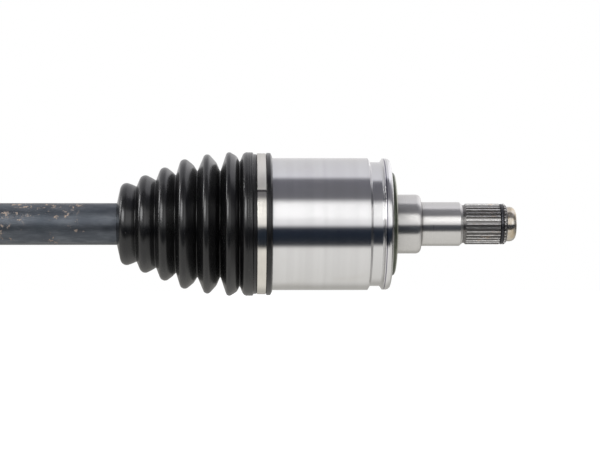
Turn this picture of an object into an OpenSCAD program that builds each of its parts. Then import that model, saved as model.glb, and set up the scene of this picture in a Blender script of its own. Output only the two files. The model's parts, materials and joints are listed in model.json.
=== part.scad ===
/* [Layout] */
// Distance between the centres of the inboard and the outboard joint
joint_spacing = 400; // [320:5:520]
// Distance from the seal face back to the centre of the tripod joint
tripod_depth = 52; // [51:0.5:54]
// Largest bend of the tripod joint each way, in degrees
tripod_bend = 20; // [14:1:20]
// Slide of the tripod each way from its rest place
plunge = 12; // [8:1:12]
// Largest bend of the ball joint each way, in degrees
ball_bend = 45; // [38:1:46]

/* [Inboard stub] */
// Diameter of the journal that the differential's oil seal runs on
journal_d = 36; // [34:0.5:38]
// Length of the seal journal
journal_len = 15.5; // [12:0.5:18]
// Diameter of the plain stub between journal and spline
stub_d = 26.8; // [26:0.1:28]
// Length of the plain stub
stub_len = 25.5; // [20:0.5:34]
// Teeth of the inboard spline
stub_teeth = 32; // [28:1:34]
// Tip diameter of the inboard spline
stub_tip_d = 24.85; // [24.5:0.05:25.4]
// Height of the inboard spline's teeth
stub_tooth_h = 0.85; // [0.6:0.05:0.95]
// Length of the inboard spline, with its run-out
stub_spline_len = 27; // [22:0.5:34]
// Diameter of the plain nose at the inboard end
nose_d = 21.2; // [19:0.2:21.8]
// Length of the nose
nose_len = 6; // [5:0.5:9]
// Wire thickness of the stub's circlip
stub_clip_wire = 2; // [1.6:0.1:2.2]
// Distance from the end of the spline to the circlip groove
stub_clip_inset = 1.9; // [1.5:0.1:3]

/* [Tripod housing] */
// Outer diameter of the housing body
housing_d = 80.5; // [79:0.5:86]
// Distance from the seal face back to the mouth of the housing
housing_len = 91; // [90:0.5:96]
// Diameter of the turned groove beside the flange
waist_d = 75.6; // [72:0.4:77.6]
// Width of the turned groove
waist_w = 6.6; // [5:0.2:10]
// Diameter of the flange at the closed end
flange_d = 80; // [78:0.5:86]
// Thickness of the flange
flange_w = 5.6; // [5:0.2:9]
// Thickness of the housing's floor, seal face to track end
floor_t = 15; // [13:0.5:16.5]
// Depth of the seat for a boot's cuff, on the radius
cuff_seat_depth = 1.2; // [0.6:0.1:1.6]
// Length of that seat, from the mouth
cuff_len = 13.5; // [12.5:0.5:15]
// Radius of the central bore between the tracks
bore_r = 20.9; // [20.4:0.1:21.2]
// Radial height of the track's outer wall above the joint axis
track_top = 33; // [32.6:0.1:33.6]
// Corner radius of a track
track_fillet = 4; // [2.5:0.5:5]
// Outer diameter of the dust shield
shield_d = 63; // [58:0.5:70]
// Thickness of the dust shield
shield_t = 3.2; // [2.5:0.1:4.2]
// Height above the journal of the land that the dust shield is pressed on
shield_land_h = 0.3; // [0.25:0.05:0.6]
// Wire thickness of the stop ring in the mouth
stop_wire = 2.2; // [1.8:0.1:2.4]
// Distance from the mouth's edge to the stop ring's centre
stop_inset = 2.8; // [2.4:0.1:3.2]
// Distance from the axle's axis to the stop ring's wire
stop_r = 31.2; // [31.1:0.1:31.6]

/* [Tripod] */
// Distance from the axle's axis to the middle of a roller
roller_place = 21.5; // [21:0.1:21.9]
// Diameter of a roller's round tread
roller_d = 32; // [31:0.2:32.4]
// Width of a roller
roller_w = 11; // [9.5:0.5:11.5]
// Diameter of a trunnion
trunnion_d = 17; // [16:0.2:17.4]
// Length of a trunnion, measured from the axle's axis
trunnion_end = 30.5; // [30.2:0.1:31]
// Diameter of a needle
needle_d = 2.5; // [2.3:0.1:2.6]
// Diameter of the spider's hub
hub_d = 32.4; // [31.4:0.2:32.8]
// Length of the spider's hub
hub_len = 24; // [23.5:0.5:25]
// Thickness of a trunnion's washer
washer_t = 1; // [0.8:0.1:1.1]
// Thickness of a trunnion's clip
trunnion_clip_t = 1.2; // [1:0.1:1.3]

/* [Axle bar] */
// Diameter of the bar between the boots
bar_d = 25.4; // [24.6:0.2:27]
// Diameter of the neck beside the tripod
tripod_neck_d = 21.6; // [20:0.2:21.8]
// Diameter of the neck beside the ball joint
ball_neck_d = 20.4; // [19:0.2:20.8]
// Length of each taper between neck and bar
taper_len = 6; // [4:1:10]
// Teeth of the bar's splined ends
bar_teeth = 26; // [22:1:28]
// Tip diameter of the bar's splined ends
bar_tip_d = 24; // [23.6:0.1:24.4]
// Height of the teeth on the bar's ends
bar_tooth_h = 0.9; // [0.6:0.1:1]
// Width of the snap rings that hold the spider and the inner race
snap_ring_w = 1.4; // [1.2:0.1:1.6]
// Radial height of those snap rings
snap_ring_h = 2; // [1.6:0.1:2.4]

/* [Inboard boot] */
// Wall thickness of both boots
boot_wall = 1.8; // [1.4:0.1:1.9]
// Round of the smallest fold's crest on the inboard boot
crest_round = 3.8; // [3.4:0.1:4.2]
// Round of the largest fold's crest
large_crest_round = 2.1; // [2:0.1:2.8]
// Round of a fold's bulging flank
flank_round = 6; // [5:0.5:7]
// Round at the bottom of a fold
crease_round = 0.5; // [0.4:0.1:0.8]
// Distance from the mouth of the housing to the bar end of the boot
boot_len = 78; // [77:0.5:84]
// Diameter of the smallest fold's crest
small_crest_d = 50; // [48:0.5:52]
// Diameter of the three largest folds' crests
large_crest_d = 87.4; // [86:0.2:88]
// Thickness of the boot's neck where it grips the bar
neck_wall = 2.3; // [2:0.1:2.6]
// Length of the neck, turned in under the first fold
inner_neck_len = 13; // [12:0.5:13.5]

/* [Outboard boot] */
// Length of the folded part of the outboard boot
outer_folds_len = 72; // [66:1:90]
// Number of its folds
outer_fold_count = 6; // [5:1:7]
// Diameter of its largest fold's crest
outer_large_crest_d = 84; // [82:1:88]
// Diameter of its smallest fold's crest
outer_small_crest_d = 46; // [44:1:54]
// Depth of its folds, on the radius
outer_fold_depth = 8; // [6:0.5:9]
// Length of its neck on the bar
outer_neck_len = 14; // [12:0.5:20]

/* [Clamps] */
// Thickness of a clamp's band
band_t = 0.85; // [0.7:0.05:1]
// Width of the large clamps' bands
large_band_w = 5.3; // [4.6:0.1:5.6]
// Width of the small clamps' bands
small_band_w = 6; // [5:0.5:7]
// Height of a clamp's closed ear above its band
ear_h = 4; // [3:0.5:5]
// Width of a clamp's ear along the band
ear_w = 9; // [7:0.5:11]

/* [Ball joint] */
// Diameter of a ball
ball_d = 17.5; // [16.8:0.1:17.8]
// Distance from the joint's centre to a ball's centre
ball_place = 30.5; // [30:0.1:31]
// Outer radius of the cage
cage_r = 33.9; // [33.5:0.1:34.2]
// Wall thickness of the cage
cage_wall = 5.7; // [5.2:0.1:6]
// Width of the cage along the axle
cage_w = 30; // [27:0.5:31]
// Length of a cage window around the axle
window_len = 21; // [20:0.2:22]
// Corner radius of a cage window
window_round = 4; // [2:0.5:5]
// Width of the inner race along the axle
inner_race_w = 23; // [21:0.5:25]
// Outer diameter of the bell
bell_d = 88; // [87:0.5:94]
// Distance from the ball joint's centre to the mouth of the bell
bell_mouth = 23; // [22:0.5:24]
// Distance from the ball joint's centre back to the bell's floor
bell_floor = 29; // [28:0.5:30]
// Distance from the ball joint's centre back to where the bell starts to narrow
bell_narrow = 10; // [8:0.5:11]
// Radius of the bell's round there
bell_round = 20; // [16:1:20]
// Distance from the ball joint's centre back to the end of the bell's cone
bell_neck = 41; // [40:0.5:46]
// Radius of the fillet there
bell_fillet = 6; // [4:0.5:6]
// Distance from the ball joint's centre back to the hub shoulder
shoulder_back = 52; // [50:0.5:58]

/* [Outboard stub] */
// Diameter of the shoulder that the wheel hub seats against
shoulder_d = 50; // [46:1:56]
// Diameter of the plain pilot behind the shoulder
pilot_d = 30; // [28.5:0.5:34]
// Length of the pilot
pilot_len = 5; // [4:0.5:8]
// Teeth of the outboard spline
hub_teeth = 26; // [24:1:28]
// Tip diameter of the outboard spline
hub_tip_d = 27; // [26:0.1:28]
// Height of the outboard spline's teeth
hub_tooth_h = 1; // [0.8:0.1:1.1]
// Length of the outboard spline
hub_spline_len = 34; // [28:1:44]
// Outer diameter of the wheel nut's thread
thread_d = 22; // [20:0.5:24]
// Length of the threaded end
thread_len = 24; // [18:1:30]
// Length of the slot that the wheel nut is staked into
stake_len = 15; // [10:1:17]

/* [Fits] */
// Running clearance of needles, trunnions and rollers
needle_fit = 0.02; // [0.01:0.01:0.04]
// Clearance of balls, cage and races
ball_fit = 0.1; // [0.06:0.02:0.1]
// Clearance of splines, rings and clips in their seats
seat_fit = 0.05; // [0.03:0.01:0.08]
// Clearance of the boots on the metal that they grip
boot_fit = 0.15; // [0.1:0.05:0.2]
// Gap between parts that pass each other
side_gap = 0.15; // [0.1:0.05:0.25]
// Least gap that a bent or slid part keeps
free_gap = 0.4; // [0.3:0.05:0.5]

/* [Hidden] */
$fn = 96;
TRIPOD_ANGLES = [0, 120, 240];
BALL_ANGLES = [30, 90, 150, 210, 270, 330];

steel = [0.72, 0.72, 0.74];
dark_steel = [0.30, 0.31, 0.34];
bright_steel = [0.82, 0.81, 0.79];
spring_steel = [0.16, 0.16, 0.18];
brass_tint = [0.74, 0.68, 0.55];
black_boot = [0.06, 0.06, 0.07];
blued_bar = [0.22, 0.24, 0.28];

// Places along the axle, from the seal face at 0 towards the differential
tripod_x = -tripod_depth;
mouth_x = -housing_len;
ball_x = tripod_x - joint_spacing;
stub_x = journal_len;
spline_x = stub_x + stub_len;
spline_end_x = spline_x + stub_spline_len;
nose_x = spline_end_x + nose_len;
clip_groove_w = stub_clip_wire + 0.5;
clip_groove_x = spline_end_x - stub_clip_inset - clip_groove_w;
clip_wire_x = clip_groove_x + clip_groove_w - stub_clip_wire / 2 - seat_fit;
clip_wire_r = stub_tip_d / 2 - 1;
flange_x = -shield_t - flange_w;
waist_x = flange_x - waist_w;
chamfer = 1;
journal_round = 2.6;
ring_opening = 15;

// The bar swings inside the housing, so the mouth opens as a cone
neck_swing = tripod_neck_d / 2 / cos(tripod_bend) + free_gap;
deepest_x = tripod_x + plunge;
relief_mouth_r = (deepest_x - mouth_x) * tan(tripod_bend) + neck_swing;
relief_x = deepest_x - (bore_r - neck_swing) / tan(tripod_bend);
stop_x = mouth_x + stop_inset;

// A bent tripod shifts its rollers sideways, so the tracks are wider by that shift
roller_shift = roller_place * (1 - cos(tripod_bend)) * sin(60) * cos(60);
track_half_w = roller_d / 2 + roller_shift + 0.09;
needle_orbit = trunnion_d / 2 + needle_fit + needle_d / 2;
needle_count = floor(180 / asin((needle_d + needle_fit) / 2 / needle_orbit));
roller_bore_r = needle_orbit + needle_d / 2 + needle_fit;
roller_in = roller_place - roller_w / 2;
roller_out = roller_place + roller_w / 2;
boss_end = roller_in - side_gap;
hub_flat = boss_end - free_gap;
washer_z = roller_out + side_gap;
clip_z = washer_z + washer_t + seat_fit;
clip_groove_r = trunnion_d / 2 - 0.8;
washer_d = 2 * roller_bore_r + 3;

bar_root_d = bar_tip_d - 2 * bar_tooth_h;
snap_groove_r = bar_root_d / 2 - 0.5;
snap_out_r = snap_groove_r + snap_ring_h;
bar_in_x = tripod_x + hub_len / 2 + snap_ring_w + 2.5;
bar_out_x = ball_x - inner_race_w / 2 - snap_ring_w - 1.8;
tripod_neck_x = tripod_x - hub_len / 2 - snap_ring_w - 1.8;
tripod_neck_end_x = mouth_x - plunge - 6;
ball_neck_x = ball_x + inner_race_w / 2 + 1.5;
ball_neck_end_x = ball_x + bell_d / 2 + 8;

shield_land_r = journal_d / 2 + shield_land_h;
seat_r = housing_d / 2 - cuff_seat_depth;
cuff_inner_r = seat_r + boot_fit;
cuff_outer_r = housing_d / 2 + 1.7;
cuff_step_x = mouth_x + cuff_len;
lip_w = 2.5;
band_inset = 1.3;
cuff_end_x = cuff_step_x + lip_w;
band_x = cuff_step_x - band_inset - large_band_w;
boot_end_x = mouth_x - boot_len;
neck_inner_r = bar_d / 2 + boot_fit;
neck_outer_r = bar_d / 2 + neck_wall;
small_band_x = boot_end_x + boot_wall + 2.2;

// The inboard boot's folds: each crest's place before the mouth, its size and its round
// between the smallest fold's (0) and the largest's (1), and how far its flank towards
// the joint bulges; each crease's place and size
FOLDS = [
    [72.2, 0, 0, 0.1], [60.9, 0.25, 0.15, 0.1], [49, 0.505, 0.3, 0.2],
    [37, 0.77, 0.45, 0.6], [23.3, 0.93, 0.8, 0.8], [9.9, 1, 1, 0.8]
];
CREASES = [[66.3, -0.11], [54.5, 0.09], [42.4, 0.26], [29.3, 0.4], [15.4, 0.4], [3.6, 0.7]];
crest_span = (large_crest_d - small_crest_d) / 2;

ball_r = ball_d / 2;
track_r = ball_r + ball_fit;
half_bend = ball_bend / 2;
// A bent ball joint shifts its balls around the axle, so the tracks are wider by that shift
ball_shift = ball_place * (1 - cos(half_bend)) * sin(30) * cos(30);
track_slack = ball_shift + 0.05;
track_mouth = 50;
race_track_arc = 40;
cage_bore_r = cage_r - cage_wall;
inner_race_r = cage_bore_r - ball_fit;
bell_bore_r = cage_r + ball_fit;
bell_mouth_x = ball_x + bell_mouth;
bell_neck_swing = ball_neck_d / 2 / cos(ball_bend) + free_gap;
bell_mouth_r = bell_mouth * tan(ball_bend) + bell_neck_swing;
bell_seat_r = bell_d / 2 - cuff_seat_depth;
shoulder_x = ball_x - shoulder_back;
pilot_x = shoulder_x - pilot_len;
hub_spline_x = pilot_x - hub_spline_len;
thread_x = hub_spline_x - thread_len;
outer_cuff_step_x = bell_mouth_x - cuff_len;
outer_cuff_end_x = outer_cuff_step_x - lip_w;
outer_band_x = outer_cuff_step_x + band_inset;
outer_boot_x = bell_mouth_x + 2.5;
outer_neck_x = outer_boot_x + outer_folds_len;
outer_neck_end_x = outer_neck_x + outer_neck_len;
outer_pitch = outer_folds_len / outer_fold_count;
outer_crest_round = 3;
outer_crease_round = 1.2;

// A profile of [place along the axle, radius] points, turned about the axle's axis
module turned(points) {
    rotate([0, 90, 0])
        rotate_extrude()
            polygon([for (p = points) [p[1], p[0]]]);
}

// A shape drawn across the axle, with Y to the right and Z up, drawn out along the axle
module along(from, to) {
    translate([from, 0, 0])
        rotate([90, 0, 90])
            linear_extrude(to - from)
                children();
}

// A ring of round wire about the axle's axis, open at the top unless gap is 0
module wire_ring(x, r, wire, gap) {
    translate([x, 0, 0])
        rotate([0, 90, 0])
            rotate([0, 0, 180 + gap / 2])
                rotate_extrude(angle = 360 - gap)
                    translate([r, 0])
                        circle(d = wire, $fn = 32);
}

// Things built along +Z are turned to stand on the tripod's arm at this angle
module on_arm(angle) {
    translate([tripod_x, 0, 0])
        rotate([angle - 90, 0, 0])
            children();
}

// A splined outline with straight-sided teeth; swell widens it to make a bore that fits
module spline_outline(teeth, tip_r, root_r, swell) {
    pitch = 360 / teeth;
    grow = swell / tip_r * 180 / PI;
    polygon([for (i = [0 : teeth - 1])
        each [
            for (q = [[root_r, -0.3], [tip_r, -0.16], [tip_r, 0.16], [root_r, 0.3]])
                let (a = pitch * (i + q[1]) + sign(q[1]) * grow)
                    [(q[0] + swell) * cos(a), (q[0] + swell) * sin(a)]
        ]
    ]);
}

// A splined length of shaft with bevelled ends
module splined(from, to, teeth, tip_r, root_r) {
    bevel = tip_r - root_r + 0.4;
    intersection() {
        along(from, to) spline_outline(teeth, tip_r, root_r, 0);
        turned([
            [from, 0], [from, tip_r - bevel], [from + bevel, tip_r + 0.01],
            [to - bevel, tip_r + 0.01], [to, tip_r - bevel], [to, 0]
        ]);
    }
}

// Folded walls run over and under a row of circles, [place, height, radius, side]:
// side is 1 where the wall goes over the circle and -1 where it goes under
function heading(p, q) =
    let (dx = q[0] - p[0], dy = q[1] - p[1])
        atan2(dy, dx) - asin((p[3] * p[2] - q[3] * q[2]) / norm([dx, dy]));
function at_heading(c, h) = [c[0] - c[3] * c[2] * sin(h), c[1] + c[3] * c[2] * cos(h)];
function wrapped(c, h0, h1) =
    c[2] == 0 ? [[c[0], c[1]]] : [for (k = [0 : 8]) at_heading(c, h0 + (h1 - h0) * k / 8)];
function folded(row, h_start, h_end) = [
    for (i = [0 : len(row) - 1])
        let (h0 = i == 0 ? h_start : heading(row[i - 1], row[i]))
            let (h1 = i == len(row) - 1 ? h_end : heading(row[i], row[i + 1]))
                each wrapped(row[i], h0, h1)
];
function thinned(row, wall) = [for (c = row) [c[0], c[1], c[2] - c[3] * wall, c[3]]];
function reversed(points) = [for (i = [len(points) - 1 : -1 : 0]) points[i]];

module inner_housing() {
    color(steel)
        difference() {
            union() {
                turned([
                    [mouth_x, 0], [mouth_x, seat_r - chamfer], [mouth_x + chamfer, seat_r],
                    [cuff_step_x, seat_r], [cuff_step_x + 0.4, housing_d / 2],
                    [waist_x - 1.5, housing_d / 2], [waist_x, waist_d / 2],
                    [flange_x - 0.8, waist_d / 2], [flange_x, waist_d / 2 + 0.7],
                    [flange_x + 0.9, flange_d / 2], [-shield_t - 2.4, flange_d / 2],
                    [-shield_t - 1.2, flange_d / 2 - 0.4], [-shield_t - 0.4, flange_d / 2 - 1.2],
                    [-shield_t, flange_d / 2 - 2.4], [-shield_t, shield_land_r],
                    [0, shield_land_r], [0, journal_d / 2],
                    [stub_x - journal_round, journal_d / 2], [stub_x - 1.6, journal_d / 2 - 0.25],
                    [stub_x - 0.7, journal_d / 2 - 0.7], [stub_x, journal_d / 2 - 1.8], [stub_x, stub_d / 2],
                    [spline_x - 1.7, stub_d / 2], [spline_x, stub_d / 2 - 1.5],
                    [spline_x, 0]
                ]);
                turned([
                    [spline_x - 1, 0], [spline_x - 1, stub_tip_d / 2 - stub_tooth_h],
                    [spline_end_x - 1, stub_tip_d / 2 - stub_tooth_h],
                    [spline_end_x, nose_d / 2], [nose_x - 3.4, nose_d / 2],
                    [nose_x - 2.4, nose_d / 2 - 0.25], [nose_x - 1.4, nose_d / 2 - 0.8],
                    [nose_x - 0.6, nose_d / 2 - 1.7], [nose_x - 0.1, nose_d / 2 - 3],
                    [nose_x, nose_d / 2 - 4], [nose_x, 0]
                ]);
                splined(spline_x + 1, spline_end_x, stub_teeth, stub_tip_d / 2,
                    stub_tip_d / 2 - stub_tooth_h);
            }
            along(mouth_x - 1, -floor_t) {
                circle(r = bore_r);
                for (a = TRIPOD_ANGLES)
                    rotate(a) track_outline();
            }
            turned([
                [mouth_x - 1, 0], [mouth_x - 1, relief_mouth_r + tan(tripod_bend)],
                [relief_x, bore_r], [relief_x, 0]
            ]);
            wire_ring(stop_x, stop_r, stop_wire + 2 * seat_fit, 0);
            turned([
                [clip_groove_x, stub_d], [clip_groove_x, clip_wire_r - stub_clip_wire / 2 - seat_fit],
                [clip_groove_x + clip_groove_w, clip_wire_r - stub_clip_wire / 2 - seat_fit],
                [clip_groove_x + clip_groove_w, stub_d]
            ]);
            turned([[nose_x - 6, 0], [nose_x - 3, 1.6], [nose_x, 4.2], [nose_x + 1, 4.2], [nose_x + 1, 0]]);
        }
}

module track_outline() {
    flat = track_half_w - track_fillet;
    translate([0, -track_half_w]) square([track_top - track_fillet, 2 * track_half_w]);
    translate([0, -flat]) square([track_top, 2 * flat]);
    for (side = [-1, 1])
        translate([track_top - track_fillet, side * flat]) circle(r = track_fillet);
}

module dust_shield() {
    color(dark_steel)
        turned([
            [-shield_t + seat_fit, shield_land_r + seat_fit],
            [-shield_t + seat_fit, shield_d / 2 - 0.4],
            [-shield_t + 0.6, shield_d / 2], [-1.6, shield_d / 2], [-0.7, shield_d / 2 - 0.6],
            [-0.2, shield_d / 2 - 1.6], [0, shield_d / 2 - 3], [0, shield_land_r + seat_fit]
        ]);
}

module stub_circlip() {
    color(spring_steel) wire_ring(clip_wire_x, clip_wire_r, stub_clip_wire, ring_opening);
}

module stop_ring() {
    color(spring_steel) wire_ring(stop_x, stop_r, stop_wire, ring_opening);
}

module spider() {
    color(steel)
        difference() {
            union() {
                along(tripod_x - hub_len / 2, tripod_x + hub_len / 2)
                    difference() {
                        circle(d = hub_d);
                        for (a = TRIPOD_ANGLES)
                            rotate(a) translate([hub_flat, -hub_d / 2]) square([hub_d, hub_d]);
                    }
                for (a = TRIPOD_ANGLES)
                    on_arm(a) {
                        cylinder(r = washer_d / 2 - 1, h = boss_end);
                        cylinder(d = trunnion_d, h = trunnion_end - chamfer);
                        translate([0, 0, trunnion_end - chamfer])
                            cylinder(r1 = trunnion_d / 2, r2 = trunnion_d / 2 - chamfer, h = chamfer);
                    }
            }
            along(tripod_x - hub_len, tripod_x + hub_len)
                spline_outline(bar_teeth, bar_tip_d / 2, bar_root_d / 2, seat_fit);
            for (a = TRIPOD_ANGLES)
                on_arm(a)
                    translate([0, 0, clip_z - seat_fit])
                        difference() {
                            cylinder(d = 2 * trunnion_d, h = trunnion_clip_t + 2 * seat_fit);
                            translate([0, 0, -1]) cylinder(r = clip_groove_r, h = trunnion_clip_t + 3);
                        }
        }
}

module trunnion_washers() {
    color(bright_steel)
        for (a = TRIPOD_ANGLES)
            on_arm(a)
                translate([0, 0, washer_z])
                    difference() {
                        cylinder(d = washer_d, h = washer_t);
                        translate([0, 0, -1]) cylinder(d = trunnion_d + 2 * seat_fit, h = washer_t + 2);
                    }
}

module trunnion_clips() {
    color(spring_steel)
        for (a = TRIPOD_ANGLES)
            on_arm(a)
                translate([0, 0, clip_z])
                    open_ring(clip_groove_r + seat_fit, clip_groove_r + 2.6, trunnion_clip_t);
}

// A flat ring about Z with a gap, as a snap ring has
module open_ring(inner_r, outer_r, height) {
    difference() {
        cylinder(r = outer_r, h = height);
        translate([0, 0, -1]) cylinder(r = inner_r, h = height + 2);
        translate([0, -2, -1]) cube([outer_r + 1, 4, height + 2]);
    }
}

module snap_rings() {
    places = [
        tripod_x + hub_len / 2 + seat_fit,
        tripod_x - hub_len / 2 - seat_fit - snap_ring_w,
        ball_x - inner_race_w / 2 - seat_fit - snap_ring_w
    ];
    color(spring_steel)
        for (x = places)
            translate([x, 0, 0])
                rotate([0, 90, 0])
                    open_ring(snap_groove_r + seat_fit, snap_out_r, snap_ring_w);
}

module needles(arm) {
    color(bright_steel)
        on_arm(TRIPOD_ANGLES[arm])
            for (i = [0 : needle_count - 1])
                rotate([0, 0, 360 * i / needle_count])
                    translate([needle_orbit, 0, roller_in + 0.2])
                        cylinder(d = needle_d, h = roller_w - 0.4, $fn = 16);
}

module needles_1() { needles(0); }
module needles_2() { needles(1); }
module needles_3() { needles(2); }

module roller(arm) {
    color(steel)
        on_arm(TRIPOD_ANGLES[arm])
            translate([0, 0, roller_place])
                rotate_extrude()
                    intersection() {
                        circle(d = roller_d);
                        translate([roller_bore_r, -roller_w / 2]) square([roller_d, roller_w]);
                    }
}

module roller_1() { roller(0); }
module roller_2() { roller(1); }
module roller_3() { roller(2); }

module axle_bar() {
    snap_w = snap_ring_w + 2 * seat_fit;
    tripod_groove_x = tripod_x + hub_len / 2;
    stop_groove_x = tripod_x - hub_len / 2 - snap_w;
    race_groove_x = ball_x - inner_race_w / 2 - snap_w;
    color(blued_bar)
        difference() {
            union() {
                turned([
                    [bar_out_x, 0], [bar_out_x, bar_root_d / 2 - 0.6], [bar_out_x + 0.6, bar_root_d / 2],
                    [ball_neck_x - 1, bar_root_d / 2], [ball_neck_x, ball_neck_d / 2],
                    [ball_neck_end_x, ball_neck_d / 2], [ball_neck_end_x + taper_len, bar_d / 2],
                    [tripod_neck_end_x - taper_len, bar_d / 2], [tripod_neck_end_x, tripod_neck_d / 2],
                    [tripod_neck_x, tripod_neck_d / 2], [tripod_neck_x + 1, bar_root_d / 2],
                    [bar_in_x - 0.6, bar_root_d / 2], [bar_in_x, bar_root_d / 2 - 0.6], [bar_in_x, 0]
                ]);
                splined(bar_out_x, ball_neck_x, bar_teeth, bar_tip_d / 2, bar_root_d / 2);
                splined(tripod_neck_x, bar_in_x, bar_teeth, bar_tip_d / 2, bar_root_d / 2);
            }
            for (x = [tripod_groove_x, stop_groove_x, race_groove_x])
                turned([
                    [x, bar_d], [x, snap_groove_r], [x + snap_w, snap_groove_r], [x + snap_w, bar_d]
                ]);
        }
}

function fold_crest(f) =
    let (
        r = small_crest_d / 2 + f[1] * crest_span,
        round = crest_round + f[2] * (large_crest_round - crest_round)
    )
        [mouth_x - f[0], r - round, round, 1];
function fold_crease(f) =
    let (r = small_crest_d / 2 + f[1] * crest_span)
        [mouth_x - f[0], r + crease_round, crease_round, -1];

// The circle that bulges the flank between a crest and a crease outwards by this much
function flank(p, q, bulge) =
    let (
        h = heading(p, q),
        out = [-sin(h), cos(h)],
        middle = ([p[0], p[1]] + p[2] * out + [q[0], q[1]] - q[2] * out) / 2,
        c = middle + (bulge - flank_round) * out
    )
        [c[0], c[1], flank_round, 1];

module inner_boot() {
    row = [
        for (i = [0 : len(FOLDS) - 1])
            let (crest = fold_crest(FOLDS[i]), crease = fold_crease(CREASES[i]))
                each [crest, flank(crest, crease, FOLDS[i][3]), crease]
    ];
    cuff_crest = [mouth_x + 0.9, large_crest_d / 2 - 3, 3, 1];
    ridge_r = cuff_outer_r + 0.6;
    outside = folded(concat([[boot_end_x, neck_inner_r, 0, 1]], row, [cuff_crest]), 0, 0);
    inside = folded(concat([[boot_end_x + boot_wall, neck_outer_r, 0, 1]], thinned(row, boot_wall)), 0, 90);
    cuff = [
        [band_x - 2.4, large_crest_d / 2], [band_x - 2.1, ridge_r], [band_x - 0.3, ridge_r],
        [band_x - 0.2, cuff_outer_r], [cuff_step_x - 1, cuff_outer_r],
        [cuff_step_x - 0.9, cuff_outer_r + 1.4], [cuff_end_x - 1, cuff_outer_r + 1.4],
        [cuff_end_x, housing_d / 2 + 1], [cuff_end_x, housing_d / 2 + boot_fit],
        [cuff_step_x + 0.3, housing_d / 2 + boot_fit], [cuff_step_x - 0.2, cuff_inner_r],
        [mouth_x - 0.6, cuff_inner_r]
    ];
    neck = [
        [boot_end_x + inner_neck_len, neck_outer_r], [boot_end_x + inner_neck_len, neck_inner_r]
    ];
    color(black_boot)
        turned(concat(outside, cuff, reversed(inside), neck));
}

// A band clamp about the axle with a closed ear, which stands out at this angle from +Y
module band_clamp(x, seat_r, width, ear_angle) {
    inner_r = seat_r + seat_fit;
    outer_r = inner_r + band_t;
    color(bright_steel)
        along(x, x + width)
            difference() {
                union() {
                    circle(r = outer_r);
                    rotate(ear_angle) ear_outline(outer_r - 0.5, 0);
                }
                circle(r = inner_r);
                rotate(ear_angle) ear_outline(outer_r - 0.5, band_t);
            }
}

// The outline of a clamp's ear, or of the hollow inside it
module ear_outline(base_r, wall) {
    low = wall == 0 ? 0 : 0.5;
    polygon([
        [base_r + low, -ear_w / 2 + wall * 1.2], [base_r + ear_h - wall, -ear_w / 3 + wall],
        [base_r + ear_h - wall, ear_w / 3 - wall], [base_r + low, ear_w / 2 - wall * 1.2]
    ]);
}

module inner_large_clamp() { band_clamp(band_x, cuff_outer_r, large_band_w, 30); }
module inner_small_clamp() { band_clamp(small_band_x, neck_outer_r, small_band_w, 30); }

// A ball track seen along the circle it follows: round, and wider around the axle
module ball_track_outline() {
    translate([ball_place, 0]) {
        translate([-track_r, -track_slack]) square([2 * track_r, 2 * track_slack]);
        for (side = [-1, 1])
            translate([0, side * track_slack]) circle(r = track_r);
    }
}

// A spherical race's outline, cut off square at both ends
module ball_zone(r, from, to) {
    rotate([0, 90, 0])
        rotate_extrude()
            intersection() {
                circle(r = r);
                translate([0, from]) square([r, to - from]);
            }
}

module inner_race() {
    color(steel)
        translate([ball_x, 0, 0])
            difference() {
                ball_zone(inner_race_r, -inner_race_w / 2, inner_race_w / 2);
                along(-inner_race_w, inner_race_w)
                    spline_outline(bar_teeth, bar_tip_d / 2, bar_root_d / 2, seat_fit);
                for (a = BALL_ANGLES)
                    rotate([a, 0, 0])
                        rotate([0, 0, 90 - race_track_arc])
                            rotate_extrude(angle = 2 * race_track_arc)
                                ball_track_outline();
            }
}

module window_outline() {
    long = window_len - 2 * window_round;
    wide = ball_d + 2 * seat_fit;
    square([wide - 2 * window_round, window_len], center = true);
    square([wide, long], center = true);
    for (sx = [-1, 1])
        for (sy = [-1, 1])
            translate([sx * (wide / 2 - window_round), sy * long / 2]) circle(r = window_round);
}

module cage() {
    color(dark_steel)
        translate([ball_x, 0, 0])
            difference() {
                ball_zone(cage_r, -cage_w / 2, cage_w / 2);
                rotate([0, 90, 0])
                    rotate_extrude()
                        intersection() {
                            circle(r = cage_bore_r);
                            translate([0, -cage_r]) square([cage_r, 2 * cage_r]);
                        }
                for (a = BALL_ANGLES)
                    rotate([a - 90, 0, 0]) linear_extrude(2 * cage_r) window_outline();
            }
}

module ball(i) {
    color(bright_steel)
        translate([ball_x, 0, 0])
            rotate([BALL_ANGLES[i], 0, 0])
                translate([0, ball_place, 0])
                    sphere(d = ball_d);
}

module ball_1() { ball(0); }
module ball_2() { ball(1); }
module ball_3() { ball(2); }
module ball_4() { ball(3); }
module ball_5() { ball(4); }
module ball_6() { ball(5); }

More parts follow.
